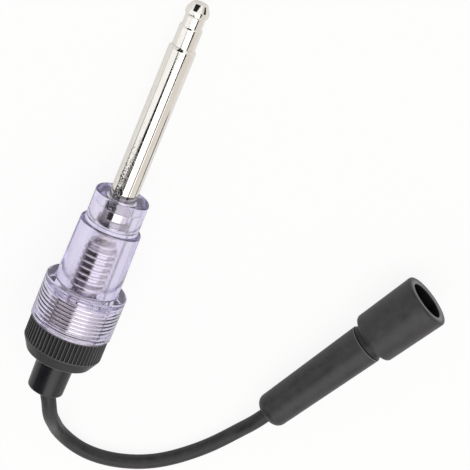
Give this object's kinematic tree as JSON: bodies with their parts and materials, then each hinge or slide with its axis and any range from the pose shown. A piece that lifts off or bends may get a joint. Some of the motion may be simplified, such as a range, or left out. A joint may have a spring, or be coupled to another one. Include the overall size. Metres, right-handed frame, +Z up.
{
  "type": "ignition coil tester",
  "caption": "In-line spark tester: probe rod with plug terminal, clear stepped housing, ridged electrode set by a fluted cap, short lead and rubber boot.",
  "frame": {"origin": "on the floor, under the middle of the tool's length, measured without the lead and boot", "axes": "+X along the tool towards the probe terminal, +Z up; the boot lies beside the tool towards -Y"},
  "size_m": [0.147, 0.1124, 0.0249],
  "materials": {
    "clear_plastic": "clear moulded plastic with a faint lilac tint, polished",
    "nickel_plate": "turned steel or brass, bright nickel plated",
    "spring_steel": "plain spring steel",
    "black_plastic": "black moulded plastic, satin",
    "nylon": "natural nylon",
    "black_vinyl": "black soft vinyl, smooth satin",
    "brass": "turned and pressed brass",
    "copper": "stranded copper",
    "lead_rubber": "black extruded rubber, slightly scuffed",
    "boot_rubber": "grey-black moulded rubber, matt"
  },
  "bodies": {
    "housing": {"clear_housing": "clear_plastic", "probe_rod": "nickel_plate", "probe_terminal": "nickel_plate", "rod_retainer": "spring_steel"},
    "lead_end": {"cable_sleeve": "black_vinyl", "lead_terminal": "brass", "contact_spring": "spring_steel", "contact_button": "brass", "lead_core": "copper", "lead": "lead_rubber", "boot": "boot_rubber", "plug_clip": "brass", "clip_ring": "spring_steel"},
    "adjuster": {"adjuster_cap": "black_plastic", "threaded_plug": "nickel_plate", "electrode": "nickel_plate", "electrode_nut": "spring_steel", "thrust_washer": "nylon"}
  },
  "joints": [
    {"name": "gap_travel", "type": "slide", "parent": "housing", "child": "lead_end", "axis": [-0.9949, 0, 0.101], "range_m": [0, 0.0055]},
    {"name": "cap_turn", "type": "hinge", "parent": "lead_end", "child": "adjuster", "pos_m": [-0.04244, 0, 0.01335], "axis": [-0.9949, 0, 0.101], "range_deg": [0, 1715]}
  ],
  "couplings": [
    {"joint": "cap_turn", "follows": "gap_travel", "rad_per_m": 5440}
  ]
}
